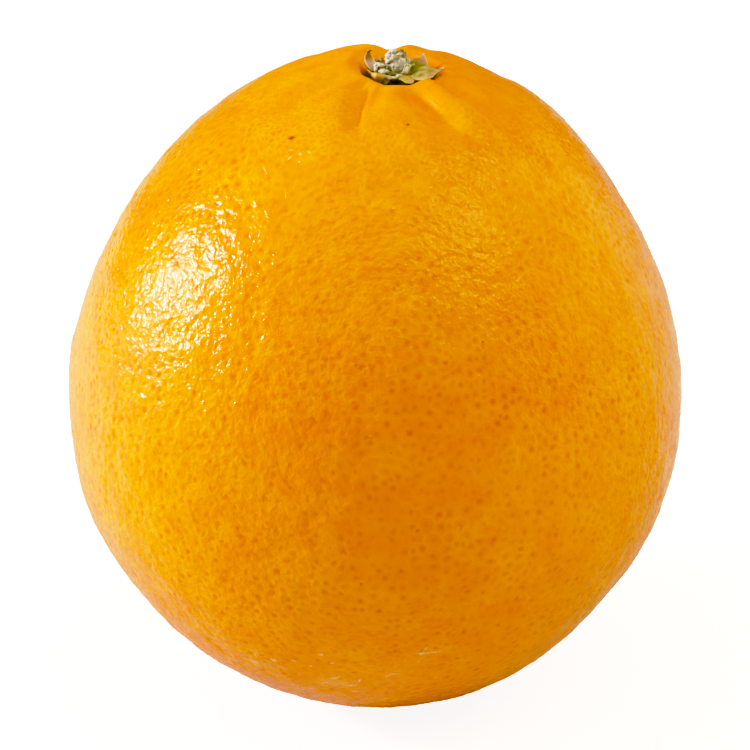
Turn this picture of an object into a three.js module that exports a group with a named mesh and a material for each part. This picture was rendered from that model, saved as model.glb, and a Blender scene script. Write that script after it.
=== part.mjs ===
// A whole sweet orange with the dry calyx in its stem hollow and the cut stub of the stem.
// Millimetres, +Z up, +X to the side that the stem leans to. The origin is on the ground, in the
// middle of the spot that the fruit rests on, and the stem end is on top.

import * as THREE from "three";
import { mergeVertices } from "three/addons/utils/BufferGeometryUtils.js";

const { degToRad, lerp, smoothstep } = THREE.MathUtils;

// The oval of the fruit. Its level is stated by an angle: 0 degrees at the stem end, 90 at the
// girth and 180 at the blossom end.
const GIRTH_RADIUS = 40;
const HALF_HEIGHT = 43.94;
const STEM_TAPER = 0.08; // how much slimmer the stem half is than the blossom half
const END_PINCH = 0.028; // how much both ends are drawn in
const STEM_SHIFT = 2.4; // how far the stem end leans towards +X
const SHIFT_POWER = 6; // how quickly that lean dies away below the stem end

// The blossom end: the oval is pressed flat where it rests, round a shallow stylar scar.
const FLAT_ANGLE = 168.2;
const SCAR_RADIUS = 2.4;
const SCAR_DEPTH = 0.7;

// The stem end: a steep hollow round the calyx, its rim dipping towards -Y, and folds that
// radiate from the rim and fade out on the shoulder.
const HOLLOW_RADIUS = 2.9;
const HOLLOW_DEPTH = 5.5; // below the end of the oval
const RIM_RADIUS = 5.9;
const RIM_SHIFT = 0.9; // the rim is this much wider on the +X side and narrower on the other
const RIM_DIP = 1.3;
const FOLD_START = 3.5;
const FOLD_FULL = 8;
const FOLD_FADE = 11;
const FOLD_END = 21;
const FOLDS = [
  { azimuth: -104, depth: 1.0, halfWidth: 1.3 },
  { azimuth: -66, depth: 0.7, halfWidth: 1.4 },
  { azimuth: -40, depth: 0.8, halfWidth: 1.3 },
  { azimuth: -4, depth: 0.4, halfWidth: 1.6 },
  { azimuth: 32, depth: 0.5, halfWidth: 1.6 },
  { azimuth: 64, depth: 0.4, halfWidth: 1.5 },
  { azimuth: 98, depth: 0.9, halfWidth: 1.5 },
  { azimuth: 134, depth: 0.5, halfWidth: 1.5 },
  { azimuth: 168, depth: 0.4, halfWidth: 1.6 },
  { azimuth: -146, depth: 0.5, halfWidth: 1.5 },
];

// The calyx and the stem. Neighbouring pieces keep this gap.
const GAP = 0.3;
const DISC_RADIUS = 2.4;
const DISC_NECK_RADIUS = 1.4;
const DISC_HEIGHT = 2.3;
const STUB_RADIUS = 1.4;
const STUB_HEIGHT = 3.2;
const SEPAL_THICKNESS = 0.45;
const SEPAL_ROOT = 2.8; // from the stem's axis to a sepal's root
const SEPAL_LIFT = 2.55; // from the floor of the hollow to a sepal's root
const SEPALS = [
  { azimuth: -20, length: 4.2, width: 4.0, rise: 1.9, colour: 0xa89b2c },
  { azimuth: 45, length: 2.2, width: 2.6, rise: 1.7, colour: 0xa8693a },
  { azimuth: 164, length: 1.2, width: 2.0, rise: 2.7, colour: 0xa8845c },
  { azimuth: -142, length: 1.5, width: 2.2, rise: 0.7, colour: 0xc99a4a },
  { azimuth: -76, length: 2.0, width: 2.2, rise: 0.3, colour: 0xa08a3a },
];

// How finely the solids are divided.
const FRUIT_SEGMENTS = 64;
const FRUIT_RINGS = 54;
const CALYX_SEGMENTS = 20;
const SEPAL_RIBS = 6;

const GIRTH_LEVEL = -HALF_HEIGHT * Math.cos(degToRad(FLAT_ANGLE));
const HOLLOW_LEVEL = GIRTH_LEVEL + HALF_HEIGHT - HOLLOW_DEPTH;
const DISC_BASE = HOLLOW_LEVEL + GAP;
const STUB_BASE = DISC_BASE + DISC_HEIGHT + GAP;

const material = (color, roughness) => new THREE.MeshStandardMaterial({ color, roughness, metalness: 0 });

// The radius of the oval at an angle from the stem end.
function ovalRadius(angle) {
  const c = Math.cos(angle);
  return GIRTH_RADIUS * Math.sin(angle) * (1 - STEM_TAPER * c - END_PINCH * c * c);
}

// How deep the folds press the shoulder in, at a distance and azimuth from the stem.
function foldDepth(ring, azimuth) {
  const reach = smoothstep(ring, FOLD_START, FOLD_FULL) * (1 - smoothstep(ring, FOLD_FADE, FOLD_END));
  let depth = 0;
  for (const fold of FOLDS) {
    const turn = azimuth - degToRad(fold.azimuth);
    const aside = ring * Math.atan2(Math.sin(turn), Math.cos(turn));
    depth += fold.depth * Math.exp(-((aside / fold.halfWidth) ** 2));
  }
  return depth * reach;
}

// The level of the peel near the stem, from the level of the plain oval there.
function shoulderLevel(ring, azimuth, ovalLevel) {
  const rim = RIM_RADIUS + RIM_SHIFT * Math.cos(azimuth);
  const wall = smoothstep(ring, HOLLOW_RADIUS, rim);
  const dip = (RIM_DIP / 2) * (1 - Math.sin(azimuth)) * (1 - smoothstep(ring, rim, FOLD_END));
  return lerp(HOLLOW_LEVEL, ovalLevel - dip - foldDepth(ring, azimuth), wall);
}

// The fruit: a lathed oval, whose stem end is then leaned, hollowed and folded.
function fruitGeometry() {
  const flatAngle = degToRad(FLAT_ANGLE);
  const profile = [
    new THREE.Vector2(0, SCAR_DEPTH),
    new THREE.Vector2(SCAR_RADIUS / 2, SCAR_DEPTH * 0.8),
    new THREE.Vector2(SCAR_RADIUS, 0),
  ];
  for (let i = FRUIT_RINGS; i > 0; i--) {
    const t = i / FRUIT_RINGS;
    const angle = flatAngle * lerp(t ** 1.8, t, 0.35); // closer rings towards the stem
    profile.push(new THREE.Vector2(ovalRadius(angle), GIRTH_LEVEL + HALF_HEIGHT * Math.cos(angle)));
  }
  profile.push(new THREE.Vector2(0, GIRTH_LEVEL + HALF_HEIGHT));

  const lathed = new THREE.LatheGeometry(profile, FRUIT_SEGMENTS).rotateX(Math.PI / 2);
  const p = lathed.getAttribute("position");
  for (let i = 0; i < p.count; i++) {
    const [x, y, z] = [p.getX(i), p.getY(i), p.getZ(i)];
    const c = (z - GIRTH_LEVEL) / HALF_HEIGHT;
    if (c <= 0) continue;
    const level = shoulderLevel(Math.hypot(x, y), Math.atan2(y, x), z);
    p.setXYZ(i, x + STEM_SHIFT * c ** SHIFT_POWER, y, level);
  }
  return closed(lathed);
}

// One closed skin: the two edges of a lathed seam become one.
function closed(geometry) {
  geometry.deleteAttribute("normal");
  geometry.deleteAttribute("uv");
  const merged = mergeVertices(geometry, 1e-3);
  merged.computeVertexNormals();
  return merged;
}

// The calyx cup: a neck that spreads to a disc, on which the stem stands.
function discGeometry() {
  const profile = [
    [0, 0],
    [DISC_NECK_RADIUS * 0.85, 0],
    [DISC_NECK_RADIUS, DISC_HEIGHT * 0.4],
    [DISC_RADIUS * 0.93, DISC_HEIGHT * 0.72],
    [DISC_RADIUS, DISC_HEIGHT * 0.88],
    [DISC_RADIUS * 0.9, DISC_HEIGHT],
    [0, DISC_HEIGHT],
  ].map(([r, h]) => new THREE.Vector2(r, h));
  return closed(new THREE.LatheGeometry(profile, CALYX_SEGMENTS).rotateX(Math.PI / 2));
}

// The stem stub: a short woody stump, a little fluted, with a domed broken end.
function stubGeometry() {
  const profile = [
    [0, 0],
    [1, 0],
    [1.02, 0.25],
    [0.94, 0.6],
    [0.9, 0.88],
    [0.62, 0.99],
    [0, 1],
  ].map(([r, h]) => new THREE.Vector2(r * STUB_RADIUS, h * STUB_HEIGHT));
  const lathed = new THREE.LatheGeometry(profile, CALYX_SEGMENTS).rotateX(Math.PI / 2);
  const p = lathed.getAttribute("position");
  for (let i = 0; i < p.count; i++) {
    const flute = 1 + 0.05 * Math.cos(5 * Math.atan2(p.getY(i), p.getX(i)));
    p.setXY(i, p.getX(i) * flute, p.getY(i) * flute);
  }
  return closed(lathed);
}

// A sepal: a thin pointed leaf that starts at its own origin and grows along +X, rising to its tip.
function sepalGeometry({ length, width, rise }) {
  const half = (t) => (width / 2) * (1 - t) ** 0.7 * (0.8 + 0.9 * t);
  const side = Array.from({ length: SEPAL_RIBS }, (_, i) => i / SEPAL_RIBS);
  const outline = [
    ...side.map((t) => new THREE.Vector2(t * length, -half(t))),
    new THREE.Vector2(length, 0),
    ...side.reverse().map((t) => new THREE.Vector2(t * length, half(t))),
  ];
  const leaf = new THREE.ExtrudeGeometry(new THREE.Shape(outline), {
    depth: SEPAL_THICKNESS,
    bevelEnabled: false,
  });
  const p = leaf.getAttribute("position");
  for (let i = 0; i < p.count; i++) p.setZ(i, p.getZ(i) + rise * (p.getX(i) / length) ** 1.2);
  return closed(leaf);
}

function piece(name, geometry, finish, x, y, z) {
  const mesh = new THREE.Mesh(geometry, finish);
  mesh.name = name;
  mesh.position.set(x, y, z);
  return mesh;
}

const group = new THREE.Group();
group.add(
  piece("fruit", fruitGeometry(), material(0xf29a08, 0.4), 0, 0, 0),
  piece("calyx_disc", discGeometry(), material(0xb8a878, 0.8), STEM_SHIFT, 0, DISC_BASE),
  piece("stem_stub", stubGeometry(), material(0xd8cfb0, 0.85), STEM_SHIFT, 0, STUB_BASE),
);
SEPALS.forEach((sepal, i) => {
  const turn = degToRad(sepal.azimuth);
  const x = STEM_SHIFT + SEPAL_ROOT * Math.cos(turn);
  const y = SEPAL_ROOT * Math.sin(turn);
  const mesh = piece(`sepal_${i + 1}`, sepalGeometry(sepal), material(sepal.colour, 0.75), x, y, 0);
  mesh.position.z = HOLLOW_LEVEL + SEPAL_LIFT;
  mesh.rotation.z = turn;
  group.add(mesh);
});

export default group;
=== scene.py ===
"""A whole ripe sweet orange that stands on its blossom end, with its dry calyx and stem stub.

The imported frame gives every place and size: the fruit's box, the stem's axis and the levels of
the calyx. All lengths here are metres, and a size is written in millimetres times MM. Only the
tables of marks, creases, swells, lumps and ribs are in plain millimetres.
"""

from __future__ import annotations

import logging
import math
from dataclasses import dataclass, field
from enum import Enum
from itertools import permutations

import bpy
import numpy as np
from bpy.types import Material, Mesh, Node, NodeSocket, NodeTree, Object
from mathutils import Euler, Matrix, Quaternion, Vector, noise
from mathutils.bvhtree import BVHTree

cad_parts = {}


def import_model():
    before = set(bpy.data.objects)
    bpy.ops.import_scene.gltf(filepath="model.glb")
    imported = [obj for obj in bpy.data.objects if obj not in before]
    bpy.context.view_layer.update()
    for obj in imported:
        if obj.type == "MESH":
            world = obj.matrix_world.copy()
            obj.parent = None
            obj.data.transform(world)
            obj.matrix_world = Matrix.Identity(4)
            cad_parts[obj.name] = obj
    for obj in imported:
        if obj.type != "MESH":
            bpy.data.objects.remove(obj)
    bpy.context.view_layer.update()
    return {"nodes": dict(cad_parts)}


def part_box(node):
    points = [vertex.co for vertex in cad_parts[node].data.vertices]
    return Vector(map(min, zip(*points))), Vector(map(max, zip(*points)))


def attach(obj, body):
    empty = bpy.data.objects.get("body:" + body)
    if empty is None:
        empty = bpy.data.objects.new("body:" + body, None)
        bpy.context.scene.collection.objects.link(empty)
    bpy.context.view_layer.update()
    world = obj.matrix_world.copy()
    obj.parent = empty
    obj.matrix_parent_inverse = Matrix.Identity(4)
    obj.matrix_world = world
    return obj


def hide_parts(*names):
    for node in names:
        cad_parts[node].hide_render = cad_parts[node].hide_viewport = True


MM = 0.001
LOG = logging.getLogger("orange")


# --- Small helpers -------------------------------------------------------------------------


def linear(colour: str, alpha: float = 1.0) -> tuple[float, float, float, float]:
    """Turns an sRGB hex colour into the linear one that shaders take.

    Args:
        colour: six hex digits, such as "#f29a08".
        alpha: the fourth number of the result.

    Returns:
        Linear red, green, blue and alpha.
    """
    parts = [int(colour[i : i + 2], 16) / 255 for i in (1, 3, 5)]
    red, green, blue = (c / 12.92 if c <= 0.04045 else ((c + 0.055) / 1.055) ** 2.4 for c in parts)
    return red, green, blue, alpha


def add_node(
    tree: NodeTree, kind: str, inputs: dict | None = None, output: str = "", **settings: object
) -> NodeSocket:
    """Adds one shader node, with its settings and whatever feeds its sockets.

    Args:
        tree: the node tree to add it to.
        kind: the node's type name after "ShaderNode", such as "Mix".
        inputs: socket name or index to a value, or to an output socket that is linked to it.
        output: the output to return, or nothing for the first one in use.
        settings: properties of the node itself.

    Returns:
        The output socket.
    """
    node = tree.nodes.new(f"ShaderNode{kind}")
    for name, value in settings.items():
        setattr(node, name, value)
    for name, value in (inputs or {}).items():
        if isinstance(value, NodeSocket):
            tree.links.new(value, node.inputs[name])
        else:
            node.inputs[name].default_value = value
    return node.outputs[output] if output else next(socket for socket in node.outputs if socket.enabled)


def new_material(name: str) -> tuple[Material, NodeTree, Node]:
    """Makes a node material and returns it with its tree and its Principled shader."""
    material = bpy.data.materials.new(name)
    material.use_nodes = True
    return material, material.node_tree, material.node_tree.nodes["Principled BSDF"]


def read(items: bpy.types.bpy_prop_collection, name: str, width: int = 1, kind: type = int) -> np.ndarray:
    """Reads one property of a mesh's vertices, edges, corners or faces.

    Args:
        items: the vertices, edges, corners or faces.
        name: the property.
        width: how many numbers it has.
        kind: whether they are int or float.

    Returns:
        A row of that width for each item.
    """
    flat = np.empty(len(items) * width, dtype=kind)
    items.foreach_get(name, flat)
    return flat.reshape(-1, width)


def points_of(mesh: Mesh) -> np.ndarray:
    """Returns the mesh's vertex places as an array of rows."""
    return read(mesh.vertices, "co", 3, float)


def set_points(mesh: Mesh, points: np.ndarray) -> None:
    """Moves the mesh's vertices to the rows of an array."""
    mesh.vertices.foreach_set("co", points.ravel())
    mesh.update()


def write(mesh: Mesh, name: str, kind: str, domain: str, values: np.ndarray) -> None:
    """Writes an attribute for a material to read.

    Args:
        mesh: the mesh that gets it.
        name: what the material calls it.
        kind: its type, such as "FLOAT".
        domain: "POINT" for one value at each vertex, or "CORNER" for one at each corner of a face.
        values: the values, in the mesh's own order.
    """
    field_name = {"FLOAT": "value", "FLOAT_VECTOR": "vector", "FLOAT_COLOR": "color"}[kind]
    layer = mesh.attributes.new(name, kind, domain)
    layer.data.foreach_set(field_name, values.astype(np.float32).ravel())


def smoothstep(value: np.ndarray, low: float, high: float) -> np.ndarray:
    """Rises smoothly from 0 at low to 1 at high."""
    t = np.clip((value - low) / (high - low), 0, 1)
    return t * t * (3 - 2 * t)


def mix(low: float, high: float, share: np.ndarray) -> np.ndarray:
    """Goes from low to high as the share goes from 0 to 1."""
    return low + (high - low) * share


def noise_at(points: np.ndarray, size: float, seed: float) -> np.ndarray:
    """Evaluates smooth noise at each point.

    Args:
        points: places, in metres.
        size: the width of a lump, in metres.
        seed: moves the pattern, so that two uses differ.

    Returns:
        One number per point, from about -1 to 1.
    """
    offset = Vector((seed, 2 * seed, 3 * seed))
    return np.array([noise.noise(Vector(p) / size + offset) for p in points])


def direction(azimuth: float, polar: float) -> Vector:
    """Returns the unit vector at an azimuth and at an angle from the top, both in degrees."""
    around, down = math.radians(azimuth), math.radians(polar)
    return Vector((math.sin(down) * math.cos(around), math.sin(down) * math.sin(around), math.cos(down)))


def deselect_all() -> None:
    """Leaves object mode with nothing selected."""
    if bpy.context.object and bpy.context.object.mode != "OBJECT":
        bpy.ops.object.mode_set(mode="OBJECT")
    bpy.ops.object.select_all(action="DESELECT")


def take(name: str) -> Object:
    """Names the object that an operator has just added, and its mesh, and returns it."""
    piece = bpy.context.object
    piece.name = piece.data.name = name
    return piece


def make_active(piece: Object) -> None:
    """Selects one object alone."""
    deselect_all()
    piece.select_set(True)
    bpy.context.view_layer.objects.active = piece


def select_vertices(piece: Object, chosen: np.ndarray) -> None:
    """Enters edit mode with only the chosen vertices selected."""
    make_active(piece)
    bpy.ops.object.mode_set(mode="EDIT")
    bpy.ops.mesh.select_mode(type="VERT")
    bpy.ops.mesh.select_all(action="DESELECT")
    bpy.ops.object.mode_set(mode="OBJECT")
    piece.data.vertices.foreach_set("select", chosen)
    bpy.ops.object.mode_set(mode="EDIT")


def stem_seat() -> Vector:
    """Returns the point on the stem's axis where the stem stands on the calyx."""
    low, high = (Vector(corner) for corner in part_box("stem_stub"))
    disc_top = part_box("calyx_disc")[1].z
    return Vector(((low.x + high.x) / 2, (low.y + high.y) / 2, disc_top))


def apply_modifier(piece: Object, kind: str, **settings: object) -> None:
    """Adds a modifier and applies it at once.

    Args:
        piece: the object to change.
        kind: the modifier's type, such as "SUBSURF".
        settings: properties of the modifier.
    """
    make_active(piece)
    modifier = piece.modifiers.new(kind.title(), kind)
    for name, value in settings.items():
        setattr(modifier, name, value)
    bpy.ops.object.modifier_apply(modifier=modifier.name)


def settle(piece: Object) -> None:
    """Puts the piece's place and turn into its mesh, and shades it smooth."""
    make_active(piece)
    bpy.ops.object.transform_apply(location=True, rotation=True, scale=True)
    bpy.ops.object.shade_smooth()


def hand_in(piece: Object, node: str, slot: str, material: Material) -> None:
    """Dresses a finished piece and lets it stand for a CAD node on the one body.

    Args:
        piece: the piece, in its final shape.
        node: the CAD node that it stands for.
        slot: not used.
        material: its own material.
    """
    piece.data.materials.clear()
    piece.data.materials.append(material)
    piece.data.polygons.foreach_set("material_index", np.zeros(len(piece.data.polygons), dtype=np.int32))
    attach(piece, "root")
    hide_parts(node)
    triangles = sum(len(face.vertices) - 2 for face in piece.data.polygons)
    LOG.info("%s stands for %s: %d triangles", piece.name, node, triangles)


# --- The peel ------------------------------------------------------------------------------


@dataclass(frozen=True)
class Mark:
    """A small mark on the peel, round or drawn out like a scratch.

    It is placed by its azimuth and its angle from the top, in degrees, and turned from level. Its
    length and width are half its size, in millimetres.
    """

    azimuth: float
    polar: float
    length: float
    width: float
    turn: float
    colour: str
    strength: float

    def frame(self, tree: BVHTree, centre: Vector) -> tuple[Vector, Euler]:
        """Finds the mark's middle on the peel, and the turn whose X axis lies along the mark."""
        out = direction(self.azimuth, self.polar)
        level = direction(self.azimuth + 90, 90)
        along = Quaternion(out, math.radians(self.turn)) @ level
        basis = Matrix((along, out.cross(along), out)).transposed()
        return tree.ray_cast(centre, out)[0], basis.to_euler()


SPECK, SCAR, SCUFF = "#7c2c06", "#e4b878", "#f6cc94"


@dataclass(frozen=True)
class PeelFinish:
    """The outer rind of a ripe orange: a thin natural wax over an oily, pitted, golden skin.

    The wax gives a gloss that the pits break into specks; the oil glands under it show as soft
    darker dots, and the tissue between them as a paler net.
    """

    golden: str = "#f78f00"
    deep: str = "#ee7a00"
    gland: str = "#ca5800"
    net: str = "#ffb43c"
    # painted shade: the near-black that the stem hollow is darkened towards
    shade: str = "#140300"
    roughness: tuple[float, float] = (0.12, 0.19)
    ior: float = 1.45
    wax_tint: str = "#ffe2b0"
    tone_size: float = 26 * MM
    patch_size: float = 9 * MM
    mottle_size: float = 3.2 * MM
    grain_size: float = 0.85 * MM
    grain_depth: float = 0.25 * MM
    pore_size: float = 0.22 * MM
    pore_depth: float = 0.012 * MM
    dot_radius: tuple[float, float] = (0.46 * MM, 0.72 * MM)
    young_pitch: float = 1.35 * MM
    young_strength: float = 0.18
    net_strength: float = 0.2
    dull_reach: tuple[float, float] = (9 * MM, 21 * MM)
    dull_roughness: float = 0.3
    calm_bump: float = 0.3
    mark_depth: float = 3 * MM
    mark_grain: float = 0.25 * MM
    raggedness: float = 2.2
    mark_edge: tuple[float, float] = (2.3, 1.3)
    marks: tuple[Mark, ...] = (
        Mark(-124, 26, 0.58, 0.42, 10, SPECK, 1.0),
        Mark(-76, 22, 0.36, 0.3, 0, SPECK, 1.0),
        Mark(-69, 63, 0.26, 0.22, 0, SPECK, 0.6),
        Mark(-163, 21, 0.3, 0.2, 0, SPECK, 0.6),
        Mark(-79.6, 122.3, 2.2, 0.16, 1, SCAR, 0.9),
        Mark(-80.8, 122.4, 0.6, 0.3, 10, SCAR, 0.95),
        Mark(-80.3, 121.3, 0.6, 0.15, 55, SCAR, 0.8),
        Mark(-81.0, 124.2, 0.9, 0.14, 70, SCAR, 0.4),
        Mark(-85.8, 128.6, 1.1, 0.15, 5, SCAR, 0.85),
        Mark(-87.4, 129.1, 0.6, 0.15, 30, SCAR, 0.75),
        Mark(-93.6, 131.4, 0.5, 0.18, 85, SCUFF, 0.85),
        Mark(-99, 132.5, 3.0, 1.3, 4, SCUFF, 0.2),
        Mark(-99, 130.7, 1.0, 0.3, 20, SCUFF, 0.45),
        Mark(-95.7, 133.7, 0.7, 0.25, 0, SCUFF, 0.6),
        Mark(-95, 136.5, 0.9, 0.16, -30, SCUFF, 0.6),
        Mark(-101.6, 133, 0.8, 0.2, 10, SCUFF, 0.45),
        Mark(-105.6, 136.4, 0.9, 0.2, -10, SCUFF, 0.35),
        Mark(-103.8, 127.1, 0.3, 0.18, 20, SCUFF, 0.45),
        Mark(-107.2, 126, 0.5, 0.17, -30, SCUFF, 0.45),
        Mark(-101, 123, 0.3, 0.22, 0, SCUFF, 0.65),
        Mark(-99, 125.3, 0.3, 0.18, 40, SCUFF, 0.5),
        Mark(-112, 126.8, 0.45, 0.3, 10, SCUFF, 0.9),
        Mark(-114, 129, 3.2, 1.3, 8, SCUFF, 0.16),
        Mark(-117, 128.9, 0.5, 0.36, 0, SCUFF, 0.65),
        Mark(-116, 126.2, 0.5, 0.2, 80, SCUFF, 0.4),
        Mark(-124, 131.2, 0.8, 0.22, -10, SCUFF, 0.5),
        Mark(-117, 29, 0.3, 0.2, 0, SCUFF, 0.6),
        Mark(-114, 28.4, 0.26, 0.2, 0, SCUFF, 0.5),
        Mark(-120, 30, 0.5, 0.12, 60, SCUFF, 0.4),
        Mark(-116, 30.5, 0.2, 0.16, 0, SCUFF, 0.5),
        Mark(-121, 28.5, 0.24, 0.14, 30, SCUFF, 0.4),
        Mark(-124, 22, 0.3, 0.14, 100, SCUFF, 0.3),
        Mark(-127, 33, 1.0, 0.12, 140, SCUFF, 0.4),
        Mark(-116, 37, 0.9, 0.12, 120, SCUFF, 0.35),
        Mark(-76, 95, 0.5, 0.14, 60, SCAR, 0.5),
    )

    def material(self, tree: BVHTree, centre: Vector, stem: Vector) -> Material:
        """Builds the rind's material.

        Args:
            tree: the peel's form, which the marks are laid on.
            centre: the fruit's middle, which the marks are aimed from.
            stem: the middle of the stem hollow, round which the wax is dull.

        Returns:
            The material.
        """
        material, nodes, shader = new_material("waxed_orange_rind")
        place = add_node(nodes, "TexCoord", output="Object")
        colour = self._skin(nodes, place)
        # the hollow attribute darkens the stem hollow towards near-black: painted shade
        hollow = add_node(nodes, "Attribute", output="Fac", attribute_name="hollow")
        layers = [
            (self._glands(nodes), self.gland),
            (self._young_glands(nodes, place), self.gland),
            (self._net(nodes, place), self.net),
            (hollow, self.shade),
        ]
        for mark in self.marks:
            layers.append((self._mark(nodes, place, mark, *mark.frame(tree, centre)), mark.colour))
        for share, over in layers:
            colour = add_node(nodes, "Mix", {0: share, "A": colour, "B": linear(over)}, data_type="RGBA")
        nodes.links.new(colour, shader.inputs["Base Color"])
        self._surface(nodes, place, shader, stem)
        return material

    def _skin(self, nodes: NodeTree, place: NodeSocket) -> NodeSocket:
        """Mixes the two ground colours in wide clouds and small mottles."""
        tone = add_node(nodes, "TexNoise", {"Vector": place, "Scale": 1 / self.tone_size, "Detail": 2.0})
        spots = {"Vector": place, "Scale": 1 / self.mottle_size, "Detail": 3.0}
        mottle = add_node(nodes, "TexNoise", spots)
        both = add_node(nodes, "Math", {0: tone, 1: mottle}, operation="ADD")
        share = add_node(nodes, "MapRange", {"Value": both, "From Min": 0.75, "From Max": 1.25})
        colours = {"A": linear(self.golden), "B": linear(self.deep)}
        return add_node(nodes, "Mix", {0: share, **colours}, data_type="RGBA")

    def _glands(self, nodes: NodeTree) -> NodeSocket:
        """Finds the dots over the pits: the stronger the gland, the wider and darker its dot."""
        gland = add_node(nodes, "Attribute", output="Fac", attribute_name="gland")
        away = add_node(nodes, "Attribute", output="Vector", attribute_name="from_gland")
        reach = add_node(nodes, "VectorMath", {0: away}, operation="LENGTH")
        small, large = (radius / MM for radius in self.dot_radius)
        radius = add_node(nodes, "MapRange", {"Value": gland, "To Min": small, "To Max": large})
        dot = {"Value": reach, "From Min": radius, "From Max": 0.05}
        inside = add_node(nodes, "MapRange", dot, interpolation_type="SMOOTHSTEP")
        return add_node(nodes, "Math", {0: inside, 1: gland}, operation="MULTIPLY")

    def _young_glands(self, nodes: NodeTree, place: NodeSocket) -> NodeSocket:
        """Finds the faint small dots of young glands between the pits."""
        young = add_node(nodes, "TexVoronoi", {"Vector": place, "Scale": 1 / self.young_pitch})
        dot = {"Value": young, "From Min": 0.42, "From Max": 0.12, "To Max": self.young_strength}
        return add_node(nodes, "MapRange", dot, interpolation_type="SMOOTHSTEP")

    def _net(self, nodes: NodeTree, place: NodeSocket) -> NodeSocket:
        """Finds the pale lines between the glands, which show only in patches."""
        patch = add_node(nodes, "TexNoise", {"Vector": place, "Scale": 1 / self.patch_size, "Detail": 3.0})
        where = add_node(nodes, "MapRange", {"Value": patch, "From Min": 0.42, "From Max": 0.64})
        line = {"Value": self._rim(nodes), "From Min": 0.3, "From Max": 0.02, "To Max": self.net_strength}
        line = add_node(nodes, "MapRange", line)
        return add_node(nodes, "Math", {0: line, 1: where}, operation="MULTIPLY")

    def _rim(self, nodes: NodeTree) -> NodeSocket:
        """Reads how far the skin is from the middle of the net, in millimetres."""
        signed = add_node(nodes, "Attribute", output="Fac", attribute_name="rim")
        return add_node(nodes, "Math", {0: signed}, operation="ABSOLUTE")

    def _mark(
        self, nodes: NodeTree, place: NodeSocket, mark: Mark, middle: Vector, turn: Euler
    ) -> NodeSocket:
        """Finds the reach of one mark, with a ragged edge."""
        size = (mark.length * MM, mark.width * MM, self.mark_depth)
        spot = {"Vector": place, "Location": middle, "Rotation": turn, "Scale": size}
        local = add_node(nodes, "Mapping", spot, vector_type="TEXTURE")
        reach = add_node(nodes, "VectorMath", {0: local}, operation="LENGTH")
        ragged = add_node(nodes, "TexNoise", {"Vector": place, "Scale": 1 / self.mark_grain, "Detail": 2.0})
        edge = add_node(nodes, "Math", {0: ragged, 1: self.raggedness, 2: reach}, operation="MULTIPLY_ADD")
        outer, inner = self.mark_edge
        share = {"Value": edge, "From Min": outer, "From Max": inner, "To Max": mark.strength}
        return add_node(nodes, "MapRange", share, interpolation_type="SMOOTHSTEP")

    def _surface(self, nodes: NodeTree, place: NodeSocket, shader: Node, stem: Vector) -> None:
        """Sets the wax: its gloss, and the fine unevenness that breaks its reflections up.

        Args:
            nodes: the rind's node tree.
            place: the point on the skin.
            shader: the rind's Principled shader.
            stem: the middle of the stem hollow, round which the wax is dull.
        """
        low, high = self.roughness
        spots = {"Vector": place, "Scale": 1 / self.mottle_size, "Detail": 2.0}
        mottle = add_node(nodes, "TexNoise", spots)
        wax = {"Value": mottle, "From Min": 0.35, "From Max": 0.65, "To Min": low, "To Max": high}
        gloss = add_node(nodes, "MapRange", wax)
        away = add_node(nodes, "VectorMath", {0: place, 1: stem}, operation="DISTANCE")
        near, far = self.dull_reach
        worn = {"Value": away, "From Min": far, "From Max": near, "To Max": self.dull_roughness}
        dull = add_node(nodes, "MapRange", worn)
        rough = add_node(nodes, "Math", {0: gloss, 1: dull}, operation="ADD")
        grit = {"Vector": place, "Scale": 1 / self.grain_size, "Detail": 3.0, "Roughness": 0.45}
        grain = add_node(nodes, "TexNoise", grit)
        calm = {"Value": away, "From Min": near, "From Max": far, "To Min": self.calm_bump}
        fine = add_node(nodes, "MapRange", calm)
        uneven = add_node(nodes, "Bump", {"Height": grain, "Strength": fine, "Distance": self.grain_depth})
        ridge = add_node(nodes, "MapRange", {"Value": self._rim(nodes), "From Max": self.pore_size / MM})
        pore = {"Height": ridge, "Strength": 1.0, "Distance": self.pore_depth, "Normal": uneven}
        nodes.links.new(rough, shader.inputs["Roughness"])
        nodes.links.new(add_node(nodes, "Bump", pore), shader.inputs["Normal"])
        shader.inputs["IOR"].default_value = self.ior
        shader.inputs["Specular Tint"].default_value = linear(self.wax_tint)


@dataclass(frozen=True)
class Crease:
    """A fold line that runs out from the stem hollow, or a ridge when its depth is negative.

    Azimuths are in degrees round the stem, at the crease's two ends; lengths are in millimetres.
    The left and right widths, seen from outside, differ where one side bulges over the crease.
    """

    start_azimuth: float
    end_azimuth: float
    start: float
    end: float
    depth: float
    right_width: float
    left_width: float


@dataclass(frozen=True)
class Swell:
    """A broad low swelling of the fruit, or a hollow when its height is negative.

    Its azimuth, its angle from the top and its width are in degrees from the fruit's middle, and
    its height is in millimetres.
    """

    azimuth: float
    polar: float
    width: float
    height: float


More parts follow.
